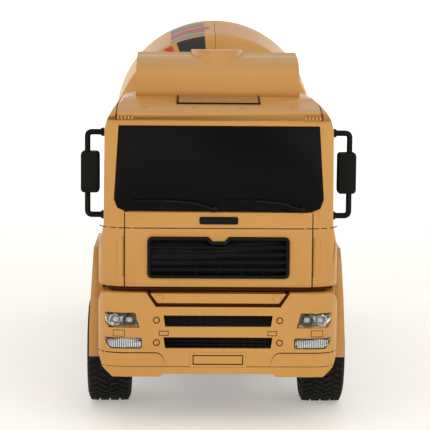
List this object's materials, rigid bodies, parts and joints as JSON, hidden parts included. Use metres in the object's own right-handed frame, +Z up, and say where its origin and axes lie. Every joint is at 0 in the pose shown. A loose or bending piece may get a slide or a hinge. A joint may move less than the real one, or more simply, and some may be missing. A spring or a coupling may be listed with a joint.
{
  "type": "toy cement mixer truck",
  "caption": "Three-axle toy mixer truck with a turning drum on a tilted axis, steering front wheels, a cab with a roof deflector and a swivelling, folding chute.",
  "frame": {"origin": "on the ground under the middle of the truck's length and width", "axes": "+Z up, -Y towards the front of the cab, +X towards the driver's left"},
  "size_m": [0.148, 0.3977, 0.2129],
  "materials": {
    "yellow_plastic": "semi-gloss moulded",
    "black_plastic": "satin moulded",
    "dark_glazing": "polished",
    "clear_lens": "prismatic",
    "chromed_plastic": "vacuum plated",
    "tyre_rubber": "matte",
    "rim_plastic": "semi-gloss",
    "steel": "turned",
    "grey_plastic": "satin moulded",
    "battery_sleeve": "shrink sleeve",
    "gear_plastic": "natural nylon",
    "red_lens": "polished"
  },
  "bodies": {
    "truck": {"chassis_tray": "black_plastic", "battery_door": "black_plastic", "battery_pack": "battery_sleeve", "chassis_deck": "black_plastic", "deck_screws": "steel", "front_axle_carrier": "black_plastic", "steering_servo": "black_plastic", "drive_motor": "steel", "cab_shell": "yellow_plastic", "front_panel": "yellow_plastic", "cab_glazing": "dark_glazing", "roof_panel": "yellow_plastic", "roof_hatch": "chromed_plastic", "cab_floor": "black_plastic", "grille": "black_plastic", "roof_deflector": "yellow_plastic", "mirrors": "black_plastic", "front_fenders": "yellow_plastic", "bumper": "yellow_plastic", "bumper_step": "yellow_plastic", "intake_mesh": "black_plastic", "lamp_lenses": "clear_lens", "headlight_reflectors": "chromed_plastic", "mixer_frame": "black_plastic", "drum_pedestal": "black_plastic", "drum_motor": "steel", "rear_frame": "yellow_plastic", "hopper": "yellow_plastic", "discharge_funnel": "yellow_plastic", "fuel_tank": "grey_plastic", "water_tank": "grey_plastic", "rear_fenders": "black_plastic", "rear_bumper": "black_plastic", "tail_lights": "red_lens"},
    "left_steering": {"knuckle_left": "grey_plastic"},
    "right_steering": {"knuckle_right": "grey_plastic"},
    "steering_link": {"tie_rod": "grey_plastic"},
    "steering_arm": {"servo_horn": "gear_plastic"},
    "front_wheel_left": {"front_tyre_left": "tyre_rubber", "front_rim_left": "rim_plastic"},
    "front_wheel_right": {"front_tyre_right": "tyre_rubber", "front_rim_right": "rim_plastic"},
    "middle_wheels": {"rear_axle_1": "steel", "rear_rims_1": "rim_plastic", "rear_tyres_1": "tyre_rubber"},
    "rear_wheels": {"rear_axle_2": "steel", "rear_rims_2": "rim_plastic", "rear_tyres_2": "tyre_rubber"},
    "drive_pinion": {"motor_pinion": "gear_plastic"},
    "power_switch": {"switch_knob": "black_plastic"},
    "drum": {"drum_gear": "gear_plastic", "drum_shell_left": "yellow_plastic", "drum_shell_right": "yellow_plastic", "drum_track": "black_plastic"},
    "mixer_pinion": {"drum_pinion": "gear_plastic"},
    "left_roller": {"roller_left": "grey_plastic"},
    "right_roller": {"roller_right": "grey_plastic"},
    "swivel": {"chute_swivel": "yellow_plastic"},
    "main_chute": {"chute": "yellow_plastic"},
    "folding_chute": {"chute_extension": "yellow_plastic"}
  },
  "joints": [
    {"name": "steer_left", "type": "hinge", "parent": "truck", "child": "left_steering", "pos_m": [0.044, -0.13, 0.03], "axis": [0, 0, 1], "range_deg": [-18, 18]},
    {"name": "steer_right", "type": "hinge", "parent": "truck", "child": "right_steering", "pos_m": [-0.044, -0.13, 0.03], "axis": [0, 0, 1], "range_deg": [-18.5, 18.5]},
    {"name": "servo_turn", "type": "hinge", "parent": "truck", "child": "steering_arm", "pos_m": [0, -0.13, 0.03], "axis": [0, 0, 1], "range_deg": [-18.5, 18.5]},
    {"name": "tie_rod_slide", "type": "slide", "parent": "truck", "child": "steering_link", "axis": [1, 0, 0], "range_m": [-0.0039, 0.0039]},
    {"name": "front_left_spin", "type": "hinge", "parent": "left_steering", "child": "front_wheel_left", "pos_m": [0.06, -0.13, 0.03], "axis": [1, 0, 0], "continuous": true},
    {"name": "front_right_spin", "type": "hinge", "parent": "right_steering", "child": "front_wheel_right", "pos_m": [-0.06, -0.13, 0.03], "axis": [1, 0, 0], "continuous": true},
    {"name": "middle_axle_spin", "type": "hinge", "parent": "truck", "child": "middle_wheels", "pos_m": [0, 0.055, 0.03], "axis": [1, 0, 0], "continuous": true},
    {"name": "rear_axle_spin", "type": "hinge", "parent": "truck", "child": "rear_wheels", "pos_m": [0, 0.123, 0.03], "axis": [1, 0, 0], "continuous": true},
    {"name": "drive_pinion_spin", "type": "hinge", "parent": "truck", "child": "drive_pinion", "pos_m": [0.005, 0.043, 0.03], "axis": [1, 0, 0], "continuous": true},
    {"name": "switch_slide", "type": "slide", "parent": "truck", "child": "power_switch", "axis": [0, 1, 0], "range_m": [-0.003, 0.003]},
    {"name": "drum_spin", "type": "hinge", "parent": "truck", "child": "drum", "pos_m": [0, -0.025, 0.1492], "axis": [0, 0.9877, 0.1564], "continuous": true},
    {"name": "mixer_pinion_spin", "type": "hinge", "parent": "truck", "child": "mixer_pinion", "pos_m": [0, -0.07557, 0.11689], "axis": [0, 0.9877, 0.1564], "continuous": true},
    {"name": "left_roller_spin", "type": "hinge", "parent": "truck", "child": "left_roller", "pos_m": [0.02552, 0.06636, 0.11891], "axis": [0, 0.9877, 0.1564], "continuous": true},
    {"name": "right_roller_spin", "type": "hinge", "parent": "truck", "child": "right_roller", "pos_m": [-0.02552, 0.06636, 0.11891], "axis": [0, 0.9877, 0.1564], "continuous": true},
    {"name": "chute_swing", "type": "hinge", "parent": "truck", "child": "swivel", "pos_m": [0, 0.14, 0.08], "axis": [0, 0, 1], "range_deg": [-45, 45]},
    {"name": "chute_tilt", "type": "hinge", "parent": "swivel", "child": "main_chute", "pos_m": [0, 0.14, 0.096], "axis": [1, 0, 0], "range_deg": [-5, 12]},
    {"name": "chute_fold", "type": "hinge", "parent": "main_chute", "child": "folding_chute", "pos_m": [0, 0.19408, 0.0763], "axis": [1, 0, 0], "range_deg": [-178, 0]}
  ],
  "couplings": [
    {"joint": "steer_right", "follows": "steer_left", "ratio": 1},
    {"joint": "servo_turn", "follows": "steer_left", "ratio": 1},
    {"joint": "tie_rod_slide", "follows": "steer_left", "m_per_rad": -0.012},
    {"joint": "drive_pinion_spin", "follows": "middle_axle_spin", "ratio": -1.4},
    {"joint": "mixer_pinion_spin", "follows": "drum_spin", "ratio": -3},
    {"joint": "left_roller_spin", "follows": "drum_spin", "ratio": -5.375},
    {"joint": "right_roller_spin", "follows": "drum_spin", "ratio": -5.375}
  ]
}
